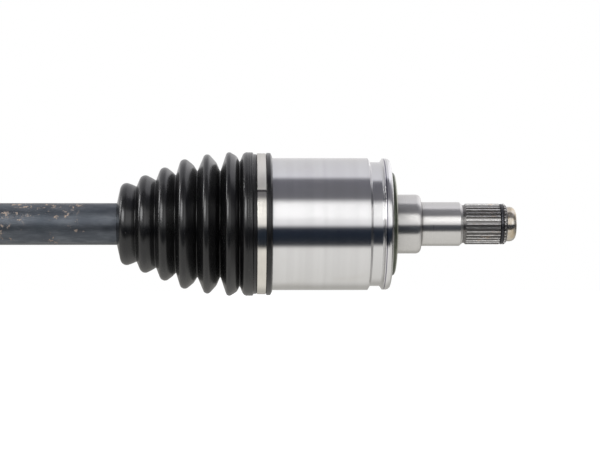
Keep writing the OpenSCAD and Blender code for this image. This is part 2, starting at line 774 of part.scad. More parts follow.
module outer_race() {
    track_back = half_bend + asin(track_r / ball_place) + 1.5;
    back = folded([
        [ball_x - bell_neck, shoulder_d / 2 + bell_fillet, bell_fillet, -1],
        [ball_x - bell_narrow, bell_d / 2 - bell_round, bell_round, 1]
    ], 0, 0);
    color(steel)
        difference() {
            union() {
                turned(concat([
                    [bell_mouth_x, 0], [bell_mouth_x, bell_seat_r - chamfer],
                    [bell_mouth_x - chamfer, bell_seat_r], [outer_cuff_step_x, bell_seat_r],
                    [outer_cuff_step_x - 0.4, bell_d / 2]
                ], reversed(back), [
                    [shoulder_x + chamfer, shoulder_d / 2],
                    [shoulder_x, shoulder_d / 2 - chamfer], [shoulder_x, pilot_d / 2],
                    [pilot_x + chamfer, pilot_d / 2], [pilot_x, pilot_d / 2 - chamfer],
                    [pilot_x, hub_tip_d / 2 - hub_tooth_h], [hub_spline_x, hub_tip_d / 2 - hub_tooth_h],
                    [hub_spline_x, thread_d / 2 - 1.2], [hub_spline_x - 2, thread_d / 2 - 1.2],
                    [hub_spline_x - 3, thread_d / 2], [thread_x + 1.5, thread_d / 2],
                    [thread_x, thread_d / 2 - 1.5], [thread_x, 0]
                ]));
                splined(hub_spline_x, pilot_x + 0.5, hub_teeth, hub_tip_d / 2, hub_tip_d / 2 - hub_tooth_h);
            }
            translate([ball_x, 0, 0]) {
                ball_zone(bell_bore_r, -bell_floor, bell_mouth);
                for (a = BALL_ANGLES)
                    rotate([a, 0, 0])
                        rotate([0, 0, 90 - track_mouth])
                            rotate_extrude(angle = track_mouth + track_back)
                                ball_track_outline();
            }
            turned([
                [ball_x, 0], [ball_x, bell_neck_swing], [bell_mouth_x + 1, bell_mouth_r + tan(ball_bend)],
                [bell_mouth_x + 1, 0]
            ]);
            translate([thread_x - 1, -1.5, thread_d / 2 - 2]) cube([stake_len + 1, 3, 4]);
            turned([[thread_x - 1, 0], [thread_x - 1, 4.2], [thread_x, 4.2], [thread_x + 3, 1.6], [thread_x + 6, 0]]);
        }
}

module outer_boot() {
    crest_r = function(i) outer_large_crest_d / 2
        - (outer_large_crest_d - outer_small_crest_d) / 2 * i / (outer_fold_count - 1);
    row = [for (i = [0 : outer_fold_count - 1]) each [
        [outer_boot_x + outer_pitch * (i + 0.1), crest_r(i) - outer_fold_depth + outer_crease_round,
            outer_crease_round, -1],
        [outer_boot_x + outer_pitch * (i + 0.55), crest_r(i) - outer_crest_round, outer_crest_round, 1]
    ]];
    cuff_out = bell_d / 2 + 1.7;
    lip = [
        [outer_cuff_end_x, bell_d / 2 + boot_fit], [outer_cuff_end_x, bell_d / 2 + 1],
        [outer_cuff_end_x + 1, cuff_out + 1.4], [outer_cuff_step_x + 0.9, cuff_out + 1.4],
        [outer_cuff_step_x + 1, cuff_out], [outer_band_x + large_band_w + 0.3, cuff_out],
        [outer_band_x + large_band_w + 0.4, cuff_out + 0.8], [bell_mouth_x + 2.3, cuff_out + 0.8]
    ];
    neck = [
        [outer_neck_x + 1, neck_outer_r], [outer_neck_end_x - 2, neck_outer_r],
        [outer_neck_end_x - 1.9, neck_outer_r + 0.9], [outer_neck_end_x, neck_outer_r + 0.9],
        [outer_neck_end_x, neck_inner_r], [outer_neck_x + 0.5, neck_inner_r]
    ];
    color(black_boot)
        turned(concat(
            lip, folded(row, -88, -88), neck, reversed(folded(thinned(row, boot_wall), -88, -88)),
            [[bell_mouth_x + 0.5, bell_seat_r + boot_fit], [outer_cuff_step_x + 0.2, bell_seat_r + boot_fit],
                [outer_cuff_step_x - 0.3, bell_d / 2 + boot_fit]]
        ));
}

module outer_large_clamp() { band_clamp(outer_band_x, bell_d / 2 + 1.7, large_band_w, 30); }
module outer_small_clamp() {
    band_clamp(outer_neck_x + 3, neck_outer_r, small_band_w, 30);
}

inner_housing();
dust_shield();
stub_circlip();
stop_ring();
inner_boot();
inner_large_clamp();
inner_small_clamp();
spider();
trunnion_washers();
trunnion_clips();
snap_rings();
needles_1();
needles_2();
needles_3();
roller_1();
roller_2();
roller_3();
axle_bar();
inner_race();
cage();
ball_1();
ball_2();
ball_3();
ball_4();
ball_5();
ball_6();
outer_race();
outer_boot();
outer_large_clamp();
outer_small_clamp();
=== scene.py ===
import json
import math

import bpy
import numpy as np
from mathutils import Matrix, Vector

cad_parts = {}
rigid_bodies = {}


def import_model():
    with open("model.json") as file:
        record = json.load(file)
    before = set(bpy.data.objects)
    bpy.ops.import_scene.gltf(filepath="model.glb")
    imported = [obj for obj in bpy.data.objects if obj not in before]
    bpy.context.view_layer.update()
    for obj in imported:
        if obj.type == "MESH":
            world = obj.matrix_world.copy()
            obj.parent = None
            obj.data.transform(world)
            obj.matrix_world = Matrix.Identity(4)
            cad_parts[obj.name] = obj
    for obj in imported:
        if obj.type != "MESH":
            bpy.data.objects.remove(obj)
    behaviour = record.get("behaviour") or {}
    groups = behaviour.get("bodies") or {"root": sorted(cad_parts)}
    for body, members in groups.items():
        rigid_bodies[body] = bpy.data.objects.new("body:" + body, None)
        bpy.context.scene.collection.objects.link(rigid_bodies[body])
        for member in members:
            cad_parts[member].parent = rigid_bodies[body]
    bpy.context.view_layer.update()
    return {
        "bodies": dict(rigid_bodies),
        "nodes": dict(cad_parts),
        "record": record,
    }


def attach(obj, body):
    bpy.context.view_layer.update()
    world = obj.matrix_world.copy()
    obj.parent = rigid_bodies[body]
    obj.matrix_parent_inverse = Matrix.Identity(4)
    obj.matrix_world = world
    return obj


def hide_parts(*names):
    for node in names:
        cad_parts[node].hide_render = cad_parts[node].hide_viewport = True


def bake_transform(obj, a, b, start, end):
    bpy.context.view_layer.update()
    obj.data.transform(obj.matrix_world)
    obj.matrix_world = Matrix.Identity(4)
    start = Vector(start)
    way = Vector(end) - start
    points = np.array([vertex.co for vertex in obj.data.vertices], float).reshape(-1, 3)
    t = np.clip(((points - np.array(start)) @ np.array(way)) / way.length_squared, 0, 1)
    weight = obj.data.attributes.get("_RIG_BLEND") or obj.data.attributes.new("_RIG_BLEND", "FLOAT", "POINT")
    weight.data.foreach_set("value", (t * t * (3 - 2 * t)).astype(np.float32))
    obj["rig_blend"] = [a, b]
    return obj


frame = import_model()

NODES = frame["nodes"]
MM = 0.001


# Sizes in mm; x runs along the axle's axis from the face where the seal journal starts

STUB_X, SPLINE_X, SPLINE_END_X = 15.5, 41.0, 68.0
# RIM_SHADE_X is where a dark line is painted round the flange's rim, as painted shade
RIM_SHADE_X, FLANGE_R = -7.25, 40.0
SHIELD_RIM_R = 30.1
BAR_R, HOUSING_R, BELL_R = 12.7, 40.25, 44.0
MOUTH, BELL_MOUTH = -91.0, -429.0

BOOT_FIT, BOOT_WALL, NECK_WALL = 0.15, 1.8, 2.3
NECK_IN, NECK_OUT = BAR_R + BOOT_FIT, BAR_R + NECK_WALL
CUFF_LEN, CUFF_WALL, LIP_HEIGHT, SEAT_DEPTH = 13.5, 1.7, 1.4, 1.2
CUFF_STEP, BELL_CUFF_STEP = MOUTH + CUFF_LEN, BELL_MOUTH - CUFF_LEN

BAND_INSET, BAND_LEN, BAND_WALL, BAND_FIT = 1.3, 5.3, 0.85, 0.05
BAND_X, BELL_BAND_X = CUFF_STEP - BAND_INSET - BAND_LEN, BELL_CUFF_STEP + BAND_INSET
BAND_RISE = CUFF_WALL + BAND_FIT + BAND_WALL

# The wheel nut's thread, and the slot for staking the nut, with half its width in degrees round the axle
THREAD_X, THREAD_PITCH, THREAD_TURNS = -565.6, 1.5, 13
THREAD_BASE, THREAD_CREST = 10.85, 11.3
STAKE_END_X, STAKE_HALF_ANGLE = -551.0, 9

# Angles in radians, from the camera's side upwards, between which a large clamp's outer layer lies
LAP_START, LAP_END = 0.485, 2.0


# Node trees

def shader(name):
    """A new material, its node tree and its principled shader."""
    mat = bpy.data.materials.new(name)
    mat.use_nodes = True
    tree = mat.node_tree
    return mat, tree, tree.nodes["Principled BSDF"]


def node(tree, kind, inputs=None, **settings):
    """A node of this kind, with settings, and inputs that are values or sockets."""
    n = tree.nodes.new(kind)
    for key, value in settings.items():
        setattr(n, key, value)
    for key, value in (inputs or {}).items():
        if isinstance(value, bpy.types.NodeSocket):
            tree.links.new(value, n.inputs[key])
        else:
            n.inputs[key].default_value = value
    return n


def calc(tree, operation, a, b=0.0):
    return node(tree, "ShaderNodeMath", {0: a, 1: b}, operation=operation).outputs[0]


def product(tree, first, *others):
    for value in others:
        first = calc(tree, "MULTIPLY", first, value)
    return first


def total(tree, first, *others):
    for value in others:
        first = calc(tree, "ADD", first, value)
    return first


def vector_calc(tree, operation, a, b):
    return node(tree, "ShaderNodeVectorMath", {0: a, 1: b}, operation=operation).outputs["Value"]


def scaled(tree, vector, factor):
    return node(tree, "ShaderNodeVectorMath", {0: vector, "Scale": factor}, operation="SCALE").outputs[0]


def ranged(tree, value, low, high, to_low, to_high, smooth=True):
    """value, taken from low..high to to_low..to_high and held at both ends."""
    n = node(tree, "ShaderNodeMapRange", {
        "Value": value, "From Min": low, "From Max": high, "To Min": to_low, "To Max": to_high
    })
    n.interpolation_type = "SMOOTHSTEP" if smooth else "LINEAR"
    return n.outputs["Result"]


def rising(tree, value, low, high):
    """0 up to low, 1 from high."""
    return ranged(tree, value, low, high, 0.0, 1.0)


def between(tree, value, start, full, fading, end):
    """0 up to start, 1 from full to fading, 0 from end."""
    return product(tree, rising(tree, value, start, full), rising(tree, value, end, fading))


def mixed(tree, factor, a, b):
    """Colour a at factor 0 and colour b at factor 1."""
    n = node(tree, "ShaderNodeMix", data_type="RGBA")
    for socket, value in ((n.inputs["Factor"], factor), (n.inputs["A"], a), (n.inputs["B"], b)):
        if isinstance(value, bpy.types.NodeSocket):
            tree.links.new(value, socket)
        else:
            socket.default_value = value if isinstance(value, float) else (*value, 1.0)
    return n.outputs["Result"]


def noise(tree, vector, scale, detail=3.0, roughness=0.55):
    return node(tree, "ShaderNodeTexNoise", {
        "Vector": vector, "Scale": scale, "Detail": detail, "Roughness": roughness
    }).outputs["Fac"]


def object_point(tree):
    """The point on the object, in metres."""
    return node(tree, "ShaderNodeTexCoord").outputs["Object"]


def x_and_radius(tree, point):
    """The point's x and its distance from the axle's axis, in mm."""
    parts = node(tree, "ShaderNodeSeparateXYZ", {"Vector": point}).outputs
    square = total(tree, product(tree, parts["Y"], parts["Y"]), product(tree, parts["Z"], parts["Z"]))
    return product(tree, parts["X"], 1000.0), product(tree, calc(tree, "SQRT", square), 1000.0)


def angle_from(tree, point, y_sign):
    """Angle round the axis, upwards from +Y at y_sign 1 and from -Y at -1."""
    parts = node(tree, "ShaderNodeSeparateXYZ", {"Vector": point}).outputs
    return calc(tree, "ARCTAN2", parts["Z"], product(tree, parts["Y"], y_sign))


def lathe_noise(tree, x, radius, scale, detail):
    """Noise that is the same all the way round, as a lathe leaves it; scale is per mm."""
    line = node(tree, "ShaderNodeCombineXYZ", {"X": x, "Y": product(tree, radius, 0.2)}).outputs[0]
    return noise(tree, line, scale, detail)


def drawn_out(tree, point):
    """The point with x at a quarter, so that a noise on it runs in streaks along the axle."""
    return node(tree, "ShaderNodeMapping", {"Vector": point, "Scale": (0.25, 1.0, 1.0)}).outputs[0]


def bump(tree, bsdf, height, distance, strength, edge=0.0):
    """Bump of height times distance, in metres; edge rounds sharp edges over that radius."""
    n = node(tree, "ShaderNodeBump", {"Height": height, "Distance": distance, "Strength": strength})
    if edge:
        soft = node(tree, "ShaderNodeBevel", {"Radius": edge}, samples=4)
        tree.links.new(soft.outputs["Normal"], n.inputs["Normal"])
    tree.links.new(n.outputs["Normal"], bsdf.inputs["Normal"])


def edge_mask(tree, radius):
    """1 on edges that are worn or polished, 0 on faces."""
    soft = node(tree, "ShaderNodeBevel", {"Radius": radius}, samples=4).outputs["Normal"]
    flat = node(tree, "ShaderNodeNewGeometry").outputs["Normal"]
    return ranged(tree, vector_calc(tree, "DOT_PRODUCT", soft, flat), 0.995, 0.9, 0.0, 1.0)


def turned_round(tree, bsdf, amount):
    """Grooves that run round the axle spread a reflection along it."""
    tangent = node(tree, "ShaderNodeTangent", direction_type="RADIAL", axis="X")
    bsdf.inputs["Anisotropic"].default_value = amount
    bsdf.inputs["Anisotropic Rotation"].default_value = 0.25
    tree.links.new(tangent.outputs[0], bsdf.inputs["Tangent"])


# Materials

def thread_root(tree, point, x, radius):
    """1 in the roots of the wheel nut's thread, 0 on its crests and away from it."""
    start = THREAD_X - THREAD_PITCH / 2
    end = THREAD_X + THREAD_PITCH * THREAD_TURNS + 0.6
    along = calc(tree, "DIVIDE", calc(tree, "SUBTRACT", x, start), THREAD_PITCH)
    turn = calc(tree, "SUBTRACT", along, calc(tree, "DIVIDE", angle_from(tree, point, 1.0), 2 * math.pi))
    wave = product(tree, calc(tree, "PINGPONG", turn, 0.5), 2.0)
    in_root = ranged(tree, wave, 0.1, 0.85, 1.0, 0.0)
    on_thread = between(tree, x, start, start + 0.5, end - 0.5, end)
    return product(tree, in_root, product(tree, on_thread, rising(tree, radius, 9.9, 10.3)))


def spline_colour(tree, point, radius, streak):
    """Tooth roots painted dark as shade between the teeth, light tips, dark streaks and a few rusty ones."""
    # Darker towards the tooth roots: painted shade between the teeth
    tip = rising(tree, radius, 11.65, 12.3)
    colour = mixed(tree, tip, (0.16, 0.155, 0.15), (0.52, 0.51, 0.50))
    colour = mixed(tree, ranged(tree, streak, 0.40, 0.66, 0.0, 0.6), colour, (0.20, 0.195, 0.19))
    rusty = ranged(tree, noise(tree, drawn_out(tree, point), 520.0), 0.6, 0.7, 0.0, 0.7)
    return mixed(tree, rusty, colour, (0.46, 0.36, 0.28))


def turned_steel():
    """Bright turned steel: smooth body, duller stub, rough spline, nose with a warm tint, and painted shade
    at the stub's shoulder, round the flange's rim and in the roots of the spline and thread.
    """
    mat, tree, bsdf = shader("turned steel")
    point = object_point(tree)
    x, radius = x_and_radius(tree, point)
    fine = lathe_noise(tree, x, radius, 2.1, 5.0)
    wide = lathe_noise(tree, x, radius, 0.19, 3.0)
    smudge = noise(tree, point, 34.0, 4.0)
    streak = noise(tree, drawn_out(tree, point), 1300.0, 3.0)
    on_stub = rising(tree, x, -0.5, 0.5)
    on_spline = between(tree, x, SPLINE_X - 0.8, SPLINE_X + 0.2, SPLINE_END_X - 0.2, SPLINE_END_X + 0.2)
    on_nose = rising(tree, x, SPLINE_END_X, SPLINE_END_X + 0.3)
    # A dark ring painted at the stub's shoulder: painted shade in the corner
    stub_corner_shade = between(tree, x, STUB_X - 0.9, STUB_X + 0.1, STUB_X + 0.6, STUB_X + 1.1)
    # A dark bluish line painted round the flange's rim: painted shade along its edge
    rim_shade = between(tree, x, RIM_SHADE_X - 0.45, RIM_SHADE_X - 0.15, RIM_SHADE_X + 0.15, RIM_SHADE_X + 0.45)
    rim_shade = product(tree, rim_shade, rising(tree, radius, FLANGE_R - 0.5, FLANGE_R - 0.2))
    root = thread_root(tree, point, x, radius)

    steel = mixed(tree, rising(tree, wide, 0.3, 0.7), (0.62, 0.615, 0.615), (0.585, 0.58, 0.58))
    steel = mixed(tree, ranged(tree, smudge, 0.5, 0.75, 0.0, 0.5), steel, (0.55, 0.535, 0.51))
    steel = mixed(tree, on_stub, steel, (0.545, 0.535, 0.52))
    steel = mixed(tree, stub_corner_shade, steel, (0.30, 0.29, 0.28))
    steel = mixed(tree, rim_shade, steel, (0.17, 0.16, 0.20))
    steel = mixed(tree, on_spline, steel, spline_colour(tree, point, radius, streak))
    tint = rising(tree, noise(tree, point, 260.0, 3.0), 0.35, 0.65)
    steel = mixed(tree, on_nose, steel, mixed(tree, tint, (0.52, 0.49, 0.44), (0.44, 0.37, 0.27)))
    # The thread's roots painted darker: painted shade in the recesses; the same mask sinks them in the bump
    # below
    steel = mixed(tree, rising(tree, root, 0.2, 1.0), steel, (0.30, 0.295, 0.29))
    tree.links.new(steel, bsdf.inputs["Base Color"])

    rough = total(
        tree, ranged(tree, fine, 0.3, 0.7, 0.2, 0.24), ranged(tree, smudge, 0.5, 0.8, 0.0, 0.05),
        product(tree, on_stub, 0.07), product(tree, on_spline, 0.08), product(tree, on_nose, -0.09)
    )
    tree.links.new(rough, bsdf.inputs["Roughness"])
    tree.links.new(ranged(tree, on_stub, 0.0, 1.0, 1.0, 0.94), bsdf.inputs["Metallic"])
    turned_round(tree, bsdf, 0.95)

    grooves = product(tree, fine, ranged(tree, on_stub, 0.0, 1.0, 0.08, 0.02))
    height = product(tree, total(tree, grooves, product(tree, on_spline, streak)), 0.000025)
    height = calc(tree, "SUBTRACT", height, product(tree, root, 0.0005))
    bump(tree, bsdf, height, distance=1.0, strength=1.0, edge=0.0002)
    return mat


def band_steel():
    """Rolled stainless strip; its outer layer, where the ends lap, is satin, with a painted shadow line just
    below its edge.
    """
    mat, tree, bsdf = shader("stainless strip")
    point = object_point(tree)
    x, radius = x_and_radius(tree, point)
    rolled = lathe_noise(tree, x, radius, 2.4, 4.0)
    smudge = noise(tree, point, 60.0, 4.0)
    angle = angle_from(tree, point, -1.0)
    lap = between(tree, angle, LAP_START - 0.01, LAP_START + 0.01, LAP_END, LAP_END + 0.02)
    # A dark line painted just below the outer layer's edge: painted shadow of the lap
    step = between(tree, angle, LAP_START - 0.03, LAP_START - 0.02, LAP_START, LAP_START + 0.01)
    colour = mixed(tree, rising(tree, smudge, 0.35, 0.7), (0.66, 0.635, 0.585), (0.60, 0.575, 0.53))
    colour = mixed(tree, lap, colour, (0.88, 0.86, 0.81))
    colour = mixed(tree, edge_mask(tree, 0.0002), colour, (0.74, 0.72, 0.69))
    colour = mixed(tree, step, colour, (0.22, 0.21, 0.2))
    tree.links.new(colour, bsdf.inputs["Base Color"])
    rough = total(tree, ranged(tree, rolled, 0.3, 0.7, 0.17, 0.24), product(tree, lap, 0.45))
    tree.links.new(rough, bsdf.inputs["Roughness"])
    bsdf.inputs["Metallic"].default_value = 1.0
    turned_round(tree, bsdf, 0.9)
    bump(tree, bsdf, rolled, distance=0.00002, strength=0.4, edge=0.00025)
    return mat


def blued_steel():
    """Blue-black bar with lighter streaks and flecks of rust."""
    mat, tree, bsdf = shader("blue-black steel")
    point = object_point(tree)
    streak = noise(tree, drawn_out(tree, point), 260.0, 4.0)
    cloud = noise(tree, point, 55.0, 5.0)
    fleck = noise(tree, point, 330.0, 6.0, 0.7)
    where = noise(tree, point, 45.0, 2.0)
    rust = product(tree, rising(tree, fleck, 0.55, 0.63), rising(tree, where, 0.47, 0.58))
    colour = mixed(tree, rising(tree, streak, 0.35, 0.68), (0.066, 0.073, 0.085), (0.108, 0.118, 0.132))
    colour = mixed(tree, ranged(tree, cloud, 0.5, 0.75, 0.0, 0.6), colour, (0.05, 0.06, 0.072))
    colour = mixed(tree, rust, colour, (0.23, 0.175, 0.135))
    tree.links.new(colour, bsdf.inputs["Base Color"])
    rough = total(tree, ranged(tree, cloud, 0.3, 0.7, 0.36, 0.46), product(tree, rust, 0.3))
    tree.links.new(rough, bsdf.inputs["Roughness"])
    tree.links.new(ranged(tree, rust, 0.0, 1.0, 0.85, 0.1), bsdf.inputs["Metallic"])
    height = total(tree, product(tree, streak, 0.5), rust)
    bump(tree, bsdf, height, distance=0.00008, strength=0.6, edge=0.0002)
    return mat


def shield_steel():
    """Phosphated pressed steel, dark green-grey, with a highlight painted along its rim."""
    mat, tree, bsdf = shader("phosphated steel")
    point = object_point(tree)
    x, radius = x_and_radius(tree, point)
    cloud = noise(tree, point, 90.0, 5.0)
    crystal = noise(tree, point, 1500.0, 2.0)
    # A light greenish band painted round the rim's edge: painted highlight
    rim_highlight = product(tree, rising(tree, radius, SHIELD_RIM_R - 0.5, SHIELD_RIM_R), rising(tree, x, -1.1, -0.6))
    colour = mixed(tree, rising(tree, cloud, 0.35, 0.7), (0.055, 0.065, 0.045), (0.11, 0.12, 0.095))
    colour = mixed(tree, rim_highlight, colour, (0.46, 0.47, 0.40))
    tree.links.new(colour, bsdf.inputs["Base Color"])
    tree.links.new(ranged(tree, crystal, 0.3, 0.7, 0.3, 0.42), bsdf.inputs["Roughness"])
    bsdf.inputs["Metallic"].default_value = 0.85
    bump(tree, bsdf, crystal, distance=0.00003, strength=0.5, edge=0.00025)
    return mat


def spring_steel():
    """Black-oxide spring steel, rubbed bright in places."""
    mat, tree, bsdf = shader("black spring steel")
    point = object_point(tree)
    cloud = noise(tree, point, 260.0, 4.0)
    rubbed = ranged(tree, cloud, 0.6, 0.75, 0.0, 0.6)
    tree.links.new(mixed(tree, rubbed, (0.03, 0.03, 0.034), (0.22, 0.22, 0.23)), bsdf.inputs["Base Color"])
    tree.links.new(ranged(tree, cloud, 0.3, 0.7, 0.28, 0.42), bsdf.inputs["Roughness"])
    bsdf.inputs["Metallic"].default_value = 0.7
    bump(tree, bsdf, cloud, distance=0.00002, strength=0.5)
    return mat


def ground_steel(name, light, dark, smooth, dull):
    """Hardened steel for balls, rollers, races and the spider, with a film of grease and polished edges."""
    mat, tree, bsdf = shader(name)
    point = object_point(tree)
    film = noise(tree, point, 120.0, 5.0)
    mark = noise(tree, point, 1100.0, 3.0)
    colour = mixed(tree, rising(tree, film, 0.4, 0.7), light, dark)
    colour = mixed(tree, edge_mask(tree, 0.0002), colour, tuple(min(1.0, 1.15 * c) for c in light))
    tree.links.new(colour, bsdf.inputs["Base Color"])
    greasy = ranged(tree, film, 0.35, 0.7, smooth, dull)
    rough = total(tree, greasy, ranged(tree, mark, 0.4, 0.7, 0.0, 0.05))
    tree.links.new(rough, bsdf.inputs["Roughness"])
    bsdf.inputs["Metallic"].default_value = 1.0
    bump(tree, bsdf, mark, distance=0.00001, strength=0.4, edge=0.0002)
    return mat


def boot_black():
    """Glossy moulded black elastomer with a faint bloom and specks of dust."""
    mat, tree, bsdf = shader("boot black")
    point = object_point(tree)
    cloud = noise(tree, point, 70.0, 4.0)
    skin = noise(tree, point, 2600.0, 2.0)
    dust = ranged(tree, noise(tree, point, 1300.0, 1.0), 0.76, 0.8, 0.0, 0.35)
    colour = mixed(tree, rising(tree, cloud, 0.3, 0.7), (0.0024, 0.0024, 0.0028), (0.004, 0.004, 0.004))
    tree.links.new(mixed(tree, dust, colour, (0.2, 0.2, 0.19)), bsdf.inputs["Base Color"])
    tree.links.new(ranged(tree, cloud, 0.3, 0.7, 0.22, 0.28), bsdf.inputs["Roughness"])
    bsdf.inputs["IOR"].default_value = 1.47
    bump(tree, bsdf, skin, distance=0.00001, strength=0.35)
    return mat


MATERIALS = {
    "turned_steel": turned_steel(),
    "blued_steel": blued_steel(),
    "shield_steel": shield_steel(),
    "spring_steel": spring_steel(),
    "bearing_steel": ground_steel(
        "bearing steel", light=(0.64, 0.635, 0.63), dark=(0.55, 0.54, 0.52), smooth=0.10, dull=0.18
    ),
    "hardened_steel": ground_steel(
        "hardened steel", light=(0.44, 0.44, 0.45), dark=(0.32, 0.315, 0.31), smooth=0.24, dull=0.34
    ),
    "stainless_band": band_steel(),
    "boot_black": boot_black(),
}
SLOT_OF = {row["node"]: row["material_slot"] for row in frame["record"]["subparts"]}
for name, obj in NODES.items():
    obj.data.materials.clear()
    obj.data.materials.append(MATERIALS[SLOT_OF[name]])


# Meshes

def new_object(name, verts, faces):
    mesh = bpy.data.meshes.new(name)
    mesh.from_pydata(verts, [], faces)
    mesh.update()
    obj = bpy.data.objects.new(name, mesh)
    bpy.context.scene.collection.objects.link(obj)
    return obj


def surfaced(obj, slot, sharp_degrees):
    """Smooth shading with edges sharp beyond that angle, and the slot's material."""
    obj.data.shade_smooth()
    obj.data.set_sharp_from_angle(angle=math.radians(sharp_degrees))
    obj.data.materials.append(MATERIALS[slot])
    return obj


def round_point(x, r, angle):
    """The point at x, r in mm and that angle round the axis from +Y, in metres."""
    return x * MM, r * MM * math.cos(angle), r * MM * math.sin(angle)


def lathe(name, profile, slot):
    """A closed profile of (x, r) in mm, turned about the axle's axis."""
    steps, count = 192, len(profile)
    ring = np.linspace(0, 2 * math.pi, steps, endpoint=False)
    verts = [round_point(x, r, a) for a in ring for x, r in profile]
    faces = []
    for i in range(steps):
        j = (i + 1) % steps
        for k in range(count):
            m = (k + 1) % count
            faces.append((i * count + k, j * count + k, j * count + m, i * count + m))
    obj = new_object(name, verts, faces)
    obj.data.validate()
    if sum(a[0] * b[1] - b[0] * a[1] for a, b in zip(profile, profile[1:] + profile[:1])) > 0:
        obj.data.flip_normals()
    return surfaced(obj, slot, 38)


def swept(name, runs, slot, body):
    """Closed bars; each run is a list of loops of (x, r, angle), in mm and radians, at rising angles."""
    verts, faces = [], []
    for loops in runs:
        base, count = len(verts), len(loops[0])
        verts += [round_point(*point) for loop in loops for point in loop]
        last = base + (len(loops) - 1) * count
        for first in range(base, last, count):
            for k in range(count):
                m = (k + 1) % count
                faces.append((first + k, first + count + k, first + count + m, first + m))
        faces.append(tuple(range(base, base + count)))
        faces.append(tuple(range(last + count - 1, last - 1, -1)))
    obj = surfaced(new_object(name, verts, faces), slot, 25)
    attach(obj, body)
    return obj


# Boot walls, wrapped over and under a row of circles [x, r, round, side], side 1 for over and -1 for under

def heading(p, q):
    """Direction of the wall between two of the circles."""
    dx, dr = q[0] - p[0], q[1] - p[1]
    return math.atan2(dr, dx) - math.asin((p[3] * p[2] - q[3] * q[2]) / math.hypot(dx, dr))


def wrapped(c, h0, h1, steps):
    """The wall's points on one circle, from heading h0 to h1."""
    turn = [h0 + (h1 - h0) * k / steps for k in range(steps + 1)] if c[2] else [h0]
    return [(c[0] - c[3] * c[2] * math.sin(h), c[1] + c[3] * c[2] * math.cos(h)) for h in turn]


def folded(row, h_start, h_end, steps=10):
    """The wall along the whole row, with its first and last headings in degrees."""
    points = []
    for i, c in enumerate(row):
        h0 = math.radians(h_start) if i == 0 else heading(row[i - 1], c)
        h1 = math.radians(h_end) if i == len(row) - 1 else heading(c, row[i + 1])
        points += wrapped(c, h0, h1, steps)
    return points


def thinned(row, wall):
    """The circles of the wall's inner side."""
    return [[c[0], c[1], c[2] - c[3] * wall, c[3]] for c in row]


def rounded(points, radius):
    """Each corner of an open profile, eased over that distance in mm."""
    steps = 4
    out = [points[0]]
    for i in range(1, len(points) - 1):
        p, c, n = (Vector(points[k]).to_2d() for k in (i - 1, i, i + 1))
        a, b = p - c, n - c
        if a.length < 1e-6 or b.length < 1e-6:
            continue
        cut = min(radius, a.length * 0.45, b.length * 0.45)
        start, end = c + a.normalized() * cut, c + b.normalized() * cut
        for k in range(steps + 1):
            t = k / steps
            q = start * (1 - t) ** 2 + c * 2 * t * (1 - t) + end * t ** 2
            out.append((q.x, q.y))
    out.append(points[-1])
    return out


# Inboard boot: the solid one's circles with tighter creases, on more points. Places are distances from the
# housing's mouth, and sizes run from 0 at the small crest to 1 at the large one.

CREASE_ROUND, SMALL_ROUND, LARGE_ROUND, FLANK_ROUND = 0.3, 3.8, 2.1, 6.0
SMALL_CREST, LARGE_CREST = 25.0, 43.7
BOOT_LEN, INNER_NECK_LEN = 78.0, 13.0

# Crests: place, size, share of the large crest's round, bulge of the flank behind
FOLDS = [
    [72.2, 0, 0, 0.1], [60.9, 0.25, 0.15, 0.1], [49, 0.505, 0.3, 0.2],
    [37, 0.77, 0.45, 0.6], [23.3, 0.93, 0.8, 0.8], [9.9, 1, 1, 0.8]
]
# Creases: place, size
CREASES = [[66.3, -0.11], [54.5, 0.09], [42.4, 0.26], [29.3, 0.4], [15.4, 0.4], [3.6, 0.7]]


def flank(p, q, bulge):
    """The circle that bulges the flank between a crest and a crease outwards."""
    h = heading(p, q)
    out_x, out_r = -math.sin(h), math.cos(h)
    x = (p[0] + p[2] * out_x + q[0] - q[2] * out_x) / 2 + (bulge - FLANK_ROUND) * out_x
    r = (p[1] + p[2] * out_r + q[1] - q[2] * out_r) / 2 + (bulge - FLANK_ROUND) * out_r
    return [x, r, FLANK_ROUND, 1]


def inner_boot():
    row = []
    for (place, size, share, bulge), (crease_place, crease_size) in zip(FOLDS, CREASES):
        tip = SMALL_ROUND + share * (LARGE_ROUND - SMALL_ROUND)
        crest_r = SMALL_CREST + size * (LARGE_CREST - SMALL_CREST)
        crease_r = SMALL_CREST + crease_size * (LARGE_CREST - SMALL_CREST)
        crest = [MOUTH - place, crest_r - tip, tip, 1]
        crease = [MOUTH - crease_place, crease_r + CREASE_ROUND, CREASE_ROUND, -1]
        row += [crest, flank(crest, crease, bulge), crease]
    end, band, step = MOUTH - BOOT_LEN, BAND_X, CUFF_STEP
    out, seat, line_r = HOUSING_R + CUFF_WALL, HOUSING_R - SEAT_DEPTH + BOOT_FIT, LARGE_CREST - 0.16
    cuff_crest = [MOUTH + 0.9, LARGE_CREST - 3, 3, 1]
    outside = folded([[end, NECK_IN, 0, 1], *row, cuff_crest], 0, 0)
    inside = folded([[end + BOOT_WALL, NECK_OUT, 0, 1], *thinned(row, BOOT_WALL)], 0, 90, 5)
    cuff = rounded([
        (MOUTH + 1.3, LARGE_CREST), (MOUTH + 1.5, line_r), (MOUTH + 1.7, LARGE_CREST),
        (MOUTH + 2.7, LARGE_CREST), (MOUTH + 2.9, line_r), (MOUTH + 3.1, LARGE_CREST),
        (band - 2.6, LARGE_CREST), (band - 2.1, out + 0.6), (band - 0.3, out + 0.6), (band - 0.2, out),
        (step - 1.1, out), (step - 0.9, out + LIP_HEIGHT), (step + 1.5, out + LIP_HEIGHT),
        (step + 2.5, HOUSING_R + 1), (step + 2.5, HOUSING_R + BOOT_FIT), (step + 0.3, HOUSING_R + BOOT_FIT),
        (step - 0.2, seat), (MOUTH - 0.6, seat)
    ], 0.45)
    neck = [(end + INNER_NECK_LEN, NECK_OUT), (end + INNER_NECK_LEN, NECK_IN)]
    return lathe("boot_inboard", outside + cuff + inside[::-1] + neck, "boot_black")


